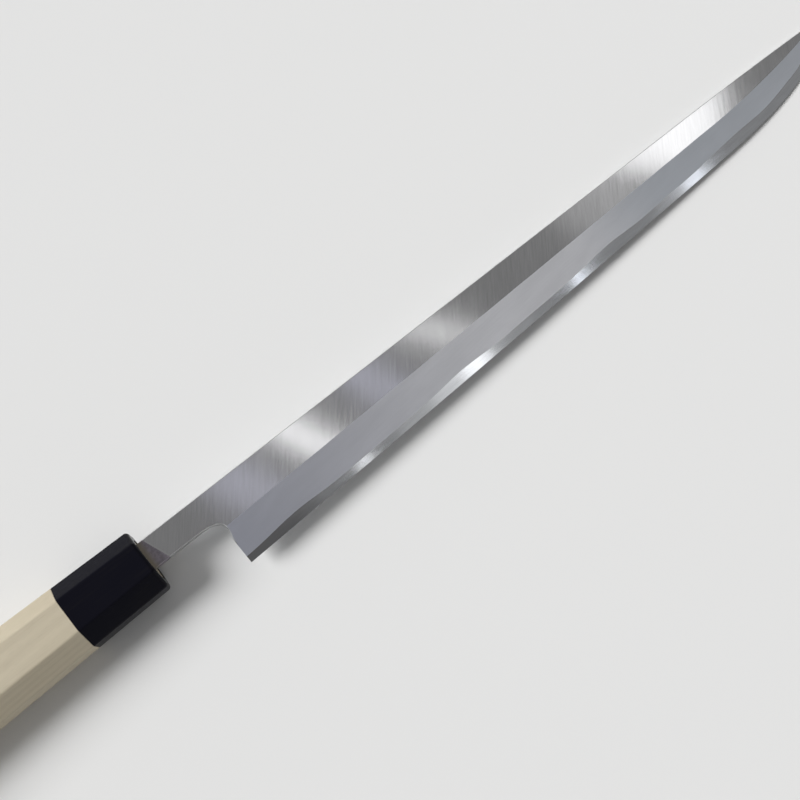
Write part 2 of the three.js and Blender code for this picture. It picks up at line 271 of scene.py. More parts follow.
def only(piece):
    """Select one object and make it the active one."""
    bpy.ops.object.select_all(action="DESELECT")
    piece.select_set(True)
    bpy.context.view_layer.objects.active = piece


@contextmanager
def editing(piece, kind):
    """Edit mode on one piece, with nothing selected. The kind is VERT, EDGE or FACE."""
    only(piece)
    bpy.ops.object.mode_set(mode="EDIT")
    bpy.ops.mesh.select_mode(type=kind)
    bpy.ops.mesh.select_all(action="DESELECT")
    yield
    bpy.ops.object.mode_set(mode="OBJECT")


def pick(piece, kind, wanted):
    """In edit mode, select just the verts, edges or faces that pass a test."""
    bpy.ops.mesh.select_all(action="DESELECT")
    mesh = bmesh.from_edit_mesh(piece.data)
    elements = {"VERT": mesh.verts, "EDGE": mesh.edges, "FACE": mesh.faces}[kind]
    chosen = [element for element in elements if wanted(element)]
    if not chosen:
        raise RuntimeError(f"{piece.name}: nothing to select")
    for element in chosen:
        element.select_set(True)
    mesh.select_flush_mode()
    bmesh.update_edit_mesh(piece.data)


def runs_along_x(edge):
    """A long edge, close to the direction of the handle."""
    run = edge.verts[1].co - edge.verts[0].co
    return abs(run.x) > ALONG_SHARE * run.length


def lies_at_x(x):
    """A test for edges that lie in the plane across the handle at x."""
    return lambda edge: all(abs(vert.co.x - x) < SAME_PLACE for vert in edge.verts)


def bevel_edges(piece, wanted, offset, steps):
    """Cut back or round the edges that pass a test."""
    with editing(piece, "EDGE"):
        pick(piece, "EDGE", wanted)
        bpy.ops.mesh.bevel(offset=offset, segments=steps, affect="EDGES")


def mark_sharp(piece, wanted):
    """Keep a crisp line along the edges that pass a test."""
    with editing(piece, "EDGE"):
        pick(piece, "EDGE", wanted)
        bpy.ops.mesh.mark_sharp()


def boolean(piece, tool, operation):
    """Join another object to a piece, or cut it out, and delete that object."""
    only(piece)
    bpy.ops.object.modifier_add(type="BOOLEAN")
    modifier = piece.modifiers[-1]
    modifier.operation = operation
    modifier.solver = "EXACT"
    modifier.object = tool
    bpy.ops.object.modifier_apply(modifier=modifier.name)
    bpy.data.objects.remove(tool)


def shade_softly(piece, weigh):
    """Smooth shading with crisp creases. Weighing keeps wide facets flat beside small rounded edges."""
    only(piece)
    bpy.ops.object.shade_smooth_by_angle(angle=SMOOTH_ANGLE, keep_sharp_edges=True)
    if weigh:
        bpy.ops.object.modifier_add(type="WEIGHTED_NORMAL")
        modifier = piece.modifiers[-1]
        modifier.keep_sharp = True
        bpy.ops.object.modifier_apply(modifier=modifier.name)


def named(piece, name):
    """Name an object and its mesh alike."""
    piece.name = name
    piece.data.name = name
    return piece


def new_block(name, start_x, end_x, start_size, end_size, end_shift=0.0):
    """A block along X from a cube. Its far end is scaled to its own size and may be shifted along Y."""
    bpy.ops.object.select_all(action="DESELECT")
    bpy.ops.mesh.primitive_cube_add(
        size=1, location=((start_x + end_x) / 2, 0, 0), scale=(end_x - start_x, start_size.x, start_size.y)
    )
    piece = named(bpy.context.object, name)
    bpy.ops.object.transform_apply(location=True, rotation=True, scale=True)
    middle = (start_x + end_x) / 2
    with editing(piece, "VERT"):
        pick(piece, "VERT", lambda vert: vert.co.x > middle)
        growth = (1, end_size.x / start_size.x, end_size.y / start_size.y)
        bpy.ops.transform.resize(value=growth, center_override=(end_x, 0, 0))
        bpy.ops.transform.translate(value=(0, end_shift, 0))
    return piece


def new_rod(name, start_x, end_x, diameter):
    """A round rod along X from a cylinder."""
    bpy.ops.object.select_all(action="DESELECT")
    bpy.ops.mesh.primitive_cylinder_add(
        vertices=ROD_SIDES,
        radius=diameter / 2,
        depth=end_x - start_x,
        location=((start_x + end_x) / 2, 0, 0),
        rotation=(0, math.pi / 2, 0),
    )
    piece = named(bpy.context.object, name)
    bpy.ops.object.transform_apply(location=True, rotation=True, scale=True)
    return piece


def octagon_block(name, start_x, end_x, start_size, end_size, leg):
    """An eight-sided tapered block along X, with its long edges cut to facets of even width."""
    piece = new_block(name, start_x, end_x, start_size, end_size)
    bevel_edges(piece, runs_along_x, leg, 1)
    return piece


def round_arrises(piece, radius):
    """Round the lines between the facets, and on round a rim, a little."""
    def is_arris(edge):
        run = edge.verts[1].co - edge.verts[0].co
        return abs(run.x) > ACROSS_SHARE * run.length and edge.calc_face_angle(0) > ARRIS_ANGLE

    bevel_edges(piece, is_arris, radius, ROUND_STEPS)


def copy_of(node, name):
    """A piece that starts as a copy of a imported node, merged, with its flat faces made whole."""
    piece = bpy.data.objects.new(name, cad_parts[node].data.copy())
    piece.data.name = name
    bpy.context.scene.collection.objects.link(piece)
    piece.data.materials.clear()
    only(piece)
    bpy.ops.mesh.customdata_custom_splitnormals_clear()
    with editing(piece, "FACE"):
        bpy.ops.mesh.select_all(action="SELECT")
        bpy.ops.mesh.remove_doubles(threshold=MERGE_DISTANCE)
        bpy.ops.mesh.dissolve_limited(angle_limit=FLAT_ANGLE)
    return piece


def hand_over(piece, node):
    """Let a finished piece stand for its node."""
    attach(piece, "root")
    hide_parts(node)


# Shader nodes

EVEN = 1.0  # a grain of a metre, so with no change in that direction on a thing as small as this
GRAIN_HARSHNESS = 0.55  # how strong the finer noise in a grain is


class Channel:
    """An output of a shader node. Arithmetic on it adds Math nodes to its tree."""

    def __init__(self, finish, socket):
        self.finish = finish
        self.socket = socket

    def math(self, operation, *values):
        inputs = dict(enumerate(values))
        return self.finish.node("Math", {"operation": operation}, inputs)

    def __add__(self, other):
        return self.math("ADD", self, other)

    def __radd__(self, other):
        return self.math("ADD", other, self)

    def __sub__(self, other):
        return self.math("SUBTRACT", self, other)

    def __rsub__(self, other):
        return self.math("SUBTRACT", other, self)

    def __mul__(self, other):
        return self.math("MULTIPLY", self, other)

    def __rmul__(self, other):
        return self.math("MULTIPLY", other, self)

    def __truediv__(self, other):
        return self.math("DIVIDE", self, other)

    def __pow__(self, other):
        return self.math("POWER", self, other)

    def sine(self):
        return self.math("SINE", self)

    def size(self):
        return self.math("ABSOLUTE", self)

    def most(self, other):
        return self.math("MAXIMUM", self, other)

    def swing(self, amount):
        """Noise about a half made into a change about nothing."""
        return (self - 0.5) * amount

    def ramp(self, low, high):
        """0 below low, 1 above high, and smooth between them. High may be the lower of the two."""
        inputs = {"Value": self, "From Min": low, "From Max": high}
        return self.finish.node("MapRange", {"interpolation_type": "SMOOTHSTEP"}, inputs)


class Finish:
    """The node tree of a material or of the world, while it is being made."""

    def __init__(self, owner):
        self.owner = owner
        owner.use_nodes = True
        self.tree = owner.node_tree
        self.tree.nodes.clear()
        self.place = None

    @classmethod
    def material(cls, name):
        return cls(bpy.data.materials.new(name))

    def node(self, kind, settings, inputs, output=0):
        """Add a node: its settings first, then the values or links of its sockets."""
        made = self.tree.nodes.new("ShaderNode" + kind)
        for key, value in settings.items():
            setattr(made, key, value)
        for key, value in inputs.items():
            if isinstance(value, Channel):
                self.tree.links.new(value.socket, made.inputs[key])
            else:
                made.inputs[key].default_value = value
        return Channel(self, made.outputs[output]) if made.outputs else made

    def position(self):
        """Object coordinates, which are the model's own frame."""
        if self.place is None:
            self.place = self.node("TexCoord", {}, {}, "Object")
        return self.place

    def axes(self):
        """The three object coordinates as values."""
        parts = self.node("SeparateXYZ", {}, {0: self.position()}).socket.node
        return [Channel(self, output) for output in parts.outputs]

    def grain(self, size, turn=0.0, detail=2.0, bend=0.0):
        """Noise whose features have a size along each axis, turned about Z."""
        inputs = {"Vector": self.position(), "Rotation": (0, 0, turn), "Scale": size}
        mapped = self.node("Mapping", {"vector_type": "TEXTURE"}, inputs)
        inputs = {"Vector": mapped, "Scale": 1.0, "Detail": detail, "Distortion": bend}
        inputs["Roughness"] = GRAIN_HARSHNESS
        return self.node("TexNoise", {}, inputs, "Fac")

    def blend(self, first, second, factor):
        """One colour passing into another."""
        def opaque(value):
            return value if isinstance(value, Channel) else (*value, 1)

        inputs = {0: factor, 6: opaque(first), 7: opaque(second)}
        return self.node("Mix", {"data_type": "RGBA"}, inputs, 2)

    def bump(self, height, distance, below=None):
        """Fine relief, of a height from 0 to 1 times a distance. It may lie over a broader one."""
        inputs = {"Height": height, "Distance": distance, "Strength": 1.0}
        if below is not None:
            inputs["Normal"] = below
        return self.node("Bump", {}, inputs, "Normal")

    def surface(self, **sockets):
        """End the tree with a principled surface."""
        inputs = {name.replace("_", " "): value for name, value in sockets.items()}
        shader = self.node("BsdfPrincipled", {}, inputs)
        self.node("OutputMaterial", {}, {"Surface": shader})
        return self.owner


def toned(colour, factor):
    """A colour made darker or paler."""
    return [factor * part for part in colour]


# Metals

DULL_BAND_START = 2.6 * MM  # length of the unpolished band in front of the ferrule, at the spine
DULL_BAND_LEAN = 0.365  # how much longer it gets for each length down from the spine
DULL_BAND_BLUR = 0.15 * MM
BORDER_LINE_AHEAD = 0.35 * MM  # a paler line along its border, which fades to both sides
BORDER_LINE_FULL = 0.1 * MM
BORDER_LINE_FADED = 0.4 * MM
BORDER_LINE_COLOUR = (0.8, 0.8, 0.8)
STAIN_FULL = FRONT_X + 1 * MM  # the brown beside the ferrule
STAIN_FADED = FRONT_X + 4 * MM
STAIN_RAGGED = 2 * MM
STONE_SHADE = (0.2, 0.205, 0.22)  # marks that the sharpening stones leave
SCRATCH_SHADE = (0.3, 0.3, 0.31)
BEVEL_HEEL_END = HEEL_X - 40 * MM  # from here the painted shade on the bevel at the heel fades
BEVEL_BRIGHT_START = HEEL_X + 180 * MM  # the stretch where the painted light on the bevel is brightest; after it painted shade darkens the bevel towards the tip
BEVEL_BRIGHT_END = HEEL_X + 215 * MM
BEVEL_FAR_START = HEEL_X + 290 * MM
STEEL_SHADE_END = HEEL_X + 18 * MM  # the edge's stretch at the heel that painted shade darkens
STEEL_BRIGHT_START = HEEL_X + 68 * MM


def dull_band(finish):
    """1 on the unpolished iron by the ferrule, whose border leans, and a line along that border."""
    x, y, z = finish.axes()
    border = (SPINE_Y - y) * DULL_BAND_LEAN + (FRONT_X + DULL_BAND_START)
    ahead = x - border
    mask = ahead.ramp(DULL_BAND_BLUR, -DULL_BAND_BLUR)
    line = (ahead - BORDER_LINE_AHEAD).size().ramp(BORDER_LINE_FADED, BORDER_LINE_FULL)
    return mask, line


def dull_iron(finish, settings):
    """Colour of the unpolished iron: mottled, and browner close to the ferrule."""
    x, y, z = finish.axes()
    scale = finish.grain((1.2 * MM, 1.2 * MM, 1.2 * MM), 0, 4)
    darker = toned(settings.dull_colour, 0.75)
    oxide = finish.blend(darker, settings.dull_colour, scale.ramp(0.3, 0.7))
    beside = (x + scale * STAIN_RAGGED).ramp(STAIN_FADED, STAIN_FULL)
    return finish.blend(oxide, settings.stain_colour, beside)


def flat_polish(settings):
    """Semi-bright iron with slanted polishing streaks."""
    finish = Finish.material("flat_polish")
    turn = settings.streak_turn
    fine = finish.grain((22 * MM, 0.55 * MM, EVEN), turn, 3)
    hatch = finish.grain((13 * MM, 0.9 * MM, EVEN), turn, 3)
    broad = finish.grain((40 * MM, 3.2 * MM, EVEN), turn, 2)
    cloud = finish.grain((30 * MM, 18 * MM, EVEN), turn, 3)
    roll = finish.grain((70 * MM, 45 * MM, EVEN), turn, 0)
    dull, line = dull_band(finish)
    tone = fine * 0.3 + hatch * 0.4 + broad * 0.2 + cloud * 0.1
    darker = toned(settings.flat_colour, 0.86)
    polished = finish.blend(darker, settings.flat_colour, tone.ramp(0.3, 0.7))
    base = finish.blend(polished, dull_iron(finish, settings), dull)
    base = finish.blend(base, BORDER_LINE_COLOUR, line * 0.35)
    polish = fine.swing(0.04) + hatch.swing(0.04) + cloud.swing(0.06) + settings.flat_roughness
    rough = polish + dull * 0.3
    waves = finish.bump(roll, 0.10 * MM)
    relief = finish.bump(fine * 0.25 + hatch * 0.06 + broad, 0.010 * MM, waves)
    return finish.surface(Base_Color=base, Metallic=1.0, Roughness=rough, Normal=relief)


def hazy_bevel(settings):
    """Matt bluish iron of the bevel, clouded by a fine stone, with painted shade darkening it at the heel
    and towards the tip and painted light making it palest in the middle of its length.
    """
    finish = Finish.material("hazy_bevel")
    x, y, z = finish.axes()
    cloud = finish.grain((34 * MM, 9 * MM, EVEN), 0.12, 4, 0.4)
    stone = finish.grain((14 * MM, 0.7 * MM, EVEN), 0.06, 3)
    speck = finish.grain((0.5 * MM, 0.5 * MM, EVEN), 0, 2)
    # Painted light and shade along the bevel: dark at the heel, palest in the middle, darker again towards
    # the tip.
    paler = x.ramp(BEVEL_HEEL_END, BEVEL_BRIGHT_START)
    shaded_haze = finish.blend(settings.heel_shade_colour, settings.lit_bevel_colour, paler)
    shaded_haze = finish.blend(shaded_haze, settings.tip_shade_colour, x.ramp(BEVEL_BRIGHT_END, BEVEL_FAR_START))
    tone = cloud * 0.5 + stone * 0.3 + speck * 0.2
    base = finish.blend(shaded_haze, STONE_SHADE, tone.ramp(0.68, 0.32) * 0.12)
    rough = cloud.swing(0.10) + speck.swing(0.06) + settings.bevel_roughness
    relief = finish.bump(stone * 0.6 + speck * 0.4, 0.004 * MM)
    return finish.surface(Base_Color=base, Metallic=settings.bevel_metal, Roughness=rough, Normal=relief)


def bright_steel(settings):
    """Polished hard steel along the edge, with a little roll left by hand sharpening, and painted shade
    darkening it at the heel.
    """
    finish = Finish.material("bright_steel")
    x, y, z = finish.axes()
    stone = finish.grain((16 * MM, 0.5 * MM, EVEN), 0.04, 3)
    cloud = finish.grain((18 * MM, 3 * MM, EVEN), 0, 3)
    roll = finish.grain((22 * MM, 9 * MM, EVEN), 0, 1)
    # Painted shade: the steel darkens towards the heel, with a ragged border.
    unshaded = (x + cloud.swing(24 * MM)).ramp(STEEL_SHADE_END, STEEL_BRIGHT_START)
    shine = finish.blend(settings.shaded_steel_colour, settings.steel_colour, unshaded)
    marks = (stone * 0.5 + cloud * 0.5).ramp(0.7, 0.3)
    base = finish.blend(shine, SCRATCH_SHADE, marks * 0.15)
    rough = cloud.swing(0.06) + settings.steel_roughness
    waves = finish.bump(roll, 0.025 * MM)
    relief = finish.bump(stone, 0.003 * MM, waves)
    return finish.surface(Base_Color=base, Metallic=1.0, Roughness=rough, Normal=relief)


def back_polish(settings):
    """Hollow-ground back, with grinding lines along the blade."""
    finish = Finish.material("back_polish")
    lines = finish.grain((45 * MM, 0.6 * MM, EVEN), 0, 3)
    broad = finish.grain((90 * MM, 4 * MM, EVEN), 0, 2)
    tone = lines * 0.6 + broad * 0.4
    darker = toned(settings.steel_colour, 0.86)
    base = finish.blend(darker, settings.steel_colour, tone.ramp(0.3, 0.7))
    rough = tone.swing(0.14) + settings.back_roughness
    relief = finish.bump(tone, 0.005 * MM)
    return finish.surface(Base_Color=base, Metallic=1.0, Roughness=rough, Normal=relief)


def brushed_sides(settings):
    """Spine, neck and notch, brushed along their length, and the dull band round the neck."""
    finish = Finish.material("brushed_sides")
    lines = finish.grain((25 * MM, 0.4 * MM, 0.4 * MM), 0, 3)
    spots = finish.grain((2 * MM, 2 * MM, 2 * MM), 0, 3)
    dull = dull_band(finish)[0]
    darker = toned(settings.side_colour, 0.82)
    polished = finish.blend(darker, settings.side_colour, (lines * 0.7 + spots * 0.3).ramp(0.3, 0.7))
    base = finish.blend(polished, dull_iron(finish, settings), dull)
    rough = lines.swing(0.16) + dull * 0.25 + settings.side_roughness
    relief = finish.bump(lines, 0.006 * MM)
    return finish.surface(Base_Color=base, Metallic=1.0, Roughness=rough, Normal=relief)


# Wood and horn

PITH = Vector((-0.034, -0.052))  # heart of the tree, below the handle in Y and Z
RING_SPACING = 2.6 * MM
RING_WANDER = 1.6  # how many rings the grain wanders across
CHAR_FULL = 0.2 * MM  # scorched wood round the slot
CHAR_FADED = 1.1 * MM
HORN_IOR = 1.54


def growth_rings(finish):
    """Yearly layers round the heart of the tree, from 0 to 1, which the facets cut lengthwise."""
    x, y, z = finish.axes()
    wander = finish.grain((150 * MM, 22 * MM, 22 * MM), 0, 2)
    radius = ((y - PITH.x) ** 2 + (z - PITH.y) ** 2) ** 0.5
    phase = radius / RING_SPACING + wander * RING_WANDER
    return (phase * (2 * math.pi)).sine() * 0.5 + 0.5


def pale_wood(settings):
    """Fine straight-grained pale wood, sanded and bare."""
    finish = Finish.material("pale_wood")
    rings = growth_rings(finish)
    fibre = finish.grain((28 * MM, 0.45 * MM, 0.45 * MM), 0, 4)
    pores = finish.grain((5 * MM, 0.16 * MM, 0.16 * MM), 0, 1)
    blotch = finish.grain((45 * MM, 12 * MM, 12 * MM), 0, 2)
    tone = rings * 0.2 + fibre * 0.5 + blotch * 0.3
    base = finish.blend(settings.pale_colour, settings.grain_colour, tone.ramp(0.2, 0.95))
    flecks = pores.ramp(0.60, 0.74)
    base = finish.blend(base, toned(settings.grain_colour, 0.6), flecks * 0.25)
    rough = fibre.swing(0.12) + flecks * 0.1 + settings.wood_roughness
    relief = finish.bump(fibre * 0.5 + (1 - flecks) * 0.5, 0.03 * MM)
    return finish.surface(Base_Color=base, Roughness=rough, Normal=relief)


def end_grain(settings):
    """The same wood cut across: rings, pores and mottling, charred round the tang's slot."""
    finish = Finish.material("end_grain")
    rings = growth_rings(finish)
    pores = finish.grain((5 * MM, 0.22 * MM, 0.22 * MM), 0, 2)
    mottle = finish.grain((20 * MM, 3 * MM, 3 * MM), 0, 3)
    x, y, z = finish.axes()
    at_tenon = x.ramp(JOINT_X, FRONT_X)
    tone = rings * 0.35 + mottle * 0.4 + pores * 0.25
    base = finish.blend(settings.end_colour, toned(settings.end_colour, 0.80), tone.ramp(0.2, 0.9))
    base = finish.blend(base, toned(settings.end_colour, 0.45), pores.ramp(0.58, 0.7) * 0.5)
    base = finish.blend(base, settings.tenon_colour, at_tenon * 0.6)
    slot_middle = SPINE_Y - NECK_HEIGHT / 2
    past_height = (y - slot_middle).size() - NECK_HEIGHT / 2
    past_width = z.size() - SPINE_THICKNESS / 2
    char = past_height.most(past_width).ramp(CHAR_FADED, CHAR_FULL) * at_tenon
    base = finish.blend(base, settings.burnt_colour, char * 0.8)
    relief = finish.bump(1 - pores.ramp(0.5, 0.7), 0.05 * MM)
    return finish.surface(Base_Color=base, Roughness=0.75, Normal=relief)


def black_horn(settings):
    """Polished black horn with faint fibres along it."""
    finish = Finish.material("black_horn")
    fibre = finish.grain((24 * MM, 0.8 * MM, 0.8 * MM), 0, 4, 0.3)
    cloud = finish.grain((30 * MM, 6 * MM, 6 * MM), 0, 3)
    scratch = finish.grain((1.2 * MM, 9 * MM, 9 * MM), 0, 2)
    streak = (fibre * 0.6 + cloud * 0.4).ramp(0.48, 0.72)
    base = finish.blend(settings.horn_colour, settings.streak_colour, streak * 0.7)
    rough = cloud.swing(0.12) + scratch.swing(0.06) + settings.horn_roughness
    relief = finish.bump(fibre * 0.7 + scratch * 0.3, 0.004 * MM)
    return finish.surface(
        Base_Color=base,
        Roughness=rough,
        IOR=HORN_IOR,
        Specular_IOR_Level=settings.horn_shine,
        Normal=relief,
    )


def floor_paint(settings):
    """Pale matt floor with a barely visible unevenness."""
    finish = Finish.material("floor_paint")
    patch = finish.grain((0.5, 0.5, 0.5), 0, 3)
    paler = toned(settings.floor_colour, 1.015)
    base = finish.blend(settings.floor_colour, paler, patch)
    return finish.surface(Base_Color=base, Roughness=0.9, Specular_IOR_Level=0.2)


# Blade

def spine_edge(face_normal, z_at_heel, taper):
    """Points on one long edge of the spine, each with the directions out of the two faces there."""
    drop_start = TIP_X - SPINE_DROP_LENGTH
    stations = [(HEEL_X, 0.0, 0.0)]
    for step in range(1, SPINE_STATIONS + 1):
        fall_share = step / SPINE_STATIONS
        drop = TIP_DROP * fall_share ** 2
        slope = 2 * TIP_DROP * fall_share / SPINE_DROP_LENGTH
        stations.append((drop_start + fall_share * SPINE_DROP_LENGTH, drop, slope))
    for x, drop, slope in stations:
        point = Vector((x, SPINE_Y - drop, z_at_heel - taper * (x - HEEL_X)))
        yield point, Vector((slope, 1, 0)).normalized(), face_normal


def grind_spine(piece, edge, radius):
    """Round a long edge of the spine as a grinder would, one flat at a time."""
    with editing(piece, "FACE"):
        for point, top_normal, face_normal in edge:
            centre = point - (top_normal + face_normal) * radius
            for flat in range(1, ARC_FLATS + 1):
                angle = flat / (ARC_FLATS + 1) * math.pi / 2
                normal = top_normal * math.sin(angle) + face_normal * math.cos(angle)
                bpy.ops.mesh.select_all(action="SELECT")
                bpy.ops.mesh.bisect(
                    plane_co=centre + normal * radius,
                    plane_no=normal,
                    use_fill=True,
                    clear_outer=True,
                    threshold=CUT_TOLERANCE,
                )


def front_spine_edge():
    """The spine's edge on the bevelled side: level along the neck, then falling with the face."""
    yield from spine_edge(Vector((FACE_TAPER, 0, 1)).normalized(), FACE_Z, FACE_TAPER)
    yield Vector((FRONT_X, SPINE_Y, FACE_Z)), Vector((0, 1, 0)), Vector((0, 0, 1))


def back_spine_edge():
    """The spine's edge on the back, which is level all along."""
    yield from spine_edge(Vector((0, 0, -1)), BACK_Z, 0)


def faces_down_or_back(face):
    """A side face of the neck, the notch or the tang that looks down or back."""
    normal = face.normal
    return abs(normal.z) < SIDEWAYS and (normal.y < -SIDEWAYS or normal.x < -SIDEWAYS)


def on_notch(sign, start_x, end_x):
    """A test for edges of the neck and notch on the front face (sign 1) or the back face (sign -1)."""
    lowest = SPINE_Y - NECK_HEIGHT - NOTCH_DROP - LOOSE_PLACE

    def wanted(edge):
        if len(edge.link_faces) != 2:
            return False
        if any(not start_x <= vert.co.x <= end_x or vert.co.y < lowest for vert in edge.verts):
            return False
        first, second = edge.link_faces
        for face, side in ((first, second), (second, first)):
            if face.normal.z * sign > SQUARE_ON and faces_down_or_back(side):
                return True
        return False

    return wanted


def give_finishes(piece, finishes, choose):
    """Put a finish on each face and keep a crisp line where two finishes meet."""
    for material in finishes:
        piece.data.materials.append(material)
    for polygon in piece.data.polygons:
        polygon.material_index = choose(polygon)

    def crisp(edge):
        if len(edge.link_faces) != 2:
            return False
        first, second = edge.link_faces
        return first.material_index != second.material_index

    mark_sharp(piece, crisp)


def crease_hollow(piece):
    """Keep the line between the hollow of the back face and its flat rims."""
    def creased(edge):
        if len(edge.link_faces) != 2:
            return False
        if any(face.material_index != STEEL_BACK for face in edge.link_faces):
            return False
        return edge.calc_face_angle() > HOLLOW_CREASE

    mark_sharp(piece, creased)


def iron_face(polygon):
    """The finish of a face of the iron body, whose bevel steepens near the tip."""
    normal = polygon.normal
    if normal.z > SQUARE_ON and abs(normal.y) < FLAT_LEAN and abs(normal.x) < FLAT_TAPER_LEAN:
        return IRON_FLAT
    steepest = TIP_BEVEL_LEAN if polygon.center.x > HEEL_X + NOTCH_LENGTH else BEVEL_LEAN
    if normal.z > BEVEL_OUT and FLAT_LEAN <= -normal.y < steepest and normal.x > -BEVEL_BACK:
        return IRON_BEVEL
    return IRON_SIDES


def steel_face(polygon):
    """The finish of a face of the steel layer, whose weld counts as a side."""
    normal = polygon.normal
    if normal.z < -SQUARE_ON:
        return STEEL_BACK
    if normal.z > SQUARE_ON and normal.y < -FLAT_LEAN:
        return STEEL_EDGE
    looks_down = normal.y < -SIDEWAYS and normal.x > -SIDEWAYS
    return STEEL_EDGE if looks_down and polygon.center.x > HEEL_X + EDGE_START else STEEL_SIDES


class KNIFE_OT_finish_iron(Operator):
    """Round the edges of the iron body and give its faces their finishes"""

    bl_idname = "knife.finish_iron"
    bl_label = "Finish the iron body"

    def execute(self, context):
        settings = context.scene.knife_blade
        piece = copy_of("blade_iron", "iron_body")
        on_front = on_notch(1, TANG_END_X - NOTCH_SLACK, HEEL_X + PAST_HEEL)
        bevel_edges(piece, on_front, settings.notch_round, ROUND_STEPS)
        on_back = on_notch(-1, TANG_END_X - NOTCH_SLACK, STEEL_LOW.x + NOTCH_SLACK)
        bevel_edges(piece, on_back, settings.back_round, ROUND_STEPS)
        grind_spine(piece, front_spine_edge(), settings.spine_round)
        grind_spine(piece, back_spine_edge(), settings.spine_round)
        finishes = [flat_polish(settings), hazy_bevel(settings), brushed_sides(settings)]
        give_finishes(piece, finishes, iron_face)
        shade_softly(piece, False)
        hand_over(piece, "blade_iron")
        return {"FINISHED"}


class KNIFE_OT_finish_steel(Operator):
    """Round the edges of the steel layer and give its faces their finishes"""

    bl_idname = "knife.finish_steel"
    bl_label = "Finish the steel layer"

    def execute(self, context):
        settings = context.scene.knife_blade
        piece = copy_of("blade_steel", "steel_layer")
        on_back = on_notch(-1, HEEL_X - NOTCH_LENGTH - NOTCH_SLACK, HEEL_X + PAST_HEEL)
        bevel_edges(piece, on_back, settings.back_round, ROUND_STEPS)
        grind_spine(piece, back_spine_edge(), settings.spine_round)
        finishes = [bright_steel(settings), back_polish(settings), brushed_sides(settings)]
        give_finishes(piece, finishes, steel_face)
        crease_hollow(piece)
        shade_softly(piece, False)
        hand_over(piece, "blade_steel")
        return {"FINISHED"}


# Ferrule and handle

class KNIFE_OT_make_ferrule(Operator):
    """Model the eight-sided horn ferrule with its bore and rounded rim"""

    bl_idname = "knife.make_ferrule"
    bl_label = "Make the ferrule"

    def execute(self, context):
        settings = context.scene.knife_ferrule
        handle = context.scene.knife_handle
        piece = octagon_block("ferrule_ring", JOINT_X, FRONT_X, JOINT_SIZE, FRONT_SIZE, handle.corner_leg)
        bevel_edges(piece, lies_at_x(FRONT_X), settings.rim_round, RIM_STEPS)
        bevel_edges(piece, lies_at_x(JOINT_X), handle.joint_ease, 1)
        round_arrises(piece, settings.arris_round)
        bore_diameter = handle.tenon_diameter + 2 * settings.bore_clearance
        bore = new_rod("bore", JOINT_X - CUTTER_REACH, FRONT_X + CUTTER_REACH, bore_diameter)
        boolean(piece, bore, "DIFFERENCE")

        def on_mouth(edge):
            gaps = [abs(vert.co.yz.length - bore_diameter / 2) for vert in edge.verts]
            return lies_at_x(FRONT_X)(edge) and max(gaps) < LOOSE_PLACE

        bevel_edges(piece, on_mouth, settings.bore_ease, MOUTH_STEPS)
        piece.data.materials.clear()
        piece.data.materials.append(black_horn(settings))
        shade_softly(piece, True)
        hand_over(piece, "horn_ferrule")
        return {"FINISHED"}


class KNIFE_OT_make_handle(Operator):
    """Model the eight-sided wooden handle with its tenon and the slot for the tang"""

    bl_idname = "knife.make_handle"
    bl_label = "Make the handle"

    def execute(self, context):
        settings = context.scene.knife_handle
        piece = octagon_block("handle_wood", BUTT_X, JOINT_X, BUTT_SIZE, JOINT_SIZE, settings.corner_leg)
        bevel_edges(piece, lies_at_x(BUTT_X), settings.butt_round, BUTT_STEPS)
        bevel_edges(piece, lies_at_x(JOINT_X), settings.joint_ease, 1)
        round_arrises(piece, settings.arris_round)
        tenon_end = FRONT_X - settings.tenon_setback
        tenon = new_rod("tenon", JOINT_X - CUTTER_REACH, tenon_end, settings.tenon_diameter)
        boolean(piece, tenon, "UNION")
        room = Vector((1, 1)) * 2 * settings.tang_clearance
        root_size = Vector((NECK_HEIGHT, SPINE_THICKNESS)) + room
        root_middle = SPINE_Y - NECK_HEIGHT / 2
        slot_start = FRONT_X - TANG_LENGTH - settings.tang_clearance
        slot = new_block("slot", slot_start, FRONT_X, TANG_END_SIZE + room, root_size, root_middle)
        boolean(piece, slot, "DIFFERENCE")
        piece.data.materials.clear()
        for material in (pale_wood(settings), end_grain(settings)):
            piece.data.materials.append(material)
        for polygon in piece.data.polygons:
            polygon.material_index = END_GRAIN if abs(polygon.normal.x) > END_ON else LONG_GRAIN
        shade_softly(piece, True)
        hand_over(piece, "handle_body")
        return {"FINISHED"}


# Stage

FLOOR_SPAN = 40.0
FLOOR_GAP = 0.05 * MM
KEY_DIRECTION = Vector((-0.66, 0.45, 0.60))  # from the knife to the key light


class StripLamp:
    """A long soft lamp that hangs level above the blade, across it, and shows as a band in the metal."""

    def __init__(self, name, spine_end, edge_end, width, level, tint=(1, 1, 1)):
        self.name = name
        self.spine_end = Vector(spine_end)
        self.edge_end = Vector(edge_end)
        self.width = width
        self.level = level
        self.tint = tint

    def hang(self, height):
        """Add the lamp at a height above the blade, at a level that its reflection has."""
        run = self.spine_end - self.edge_end
        middle = (self.spine_end + self.edge_end) / 2
        bpy.ops.object.light_add(
            type="AREA",
            location=(middle.x, middle.y, height),
            rotation=(0, 0, math.atan2(run.y, run.x) - math.pi / 2),
        )
        lamp = bpy.context.object
        lamp.name = self.name
        lamp.data.shape = "RECTANGLE"
        lamp.data.size = self.width
        lamp.data.size_y = run.length
        lamp.data.energy = self.level * math.pi * self.width * run.length
        lamp.data.color = self.tint


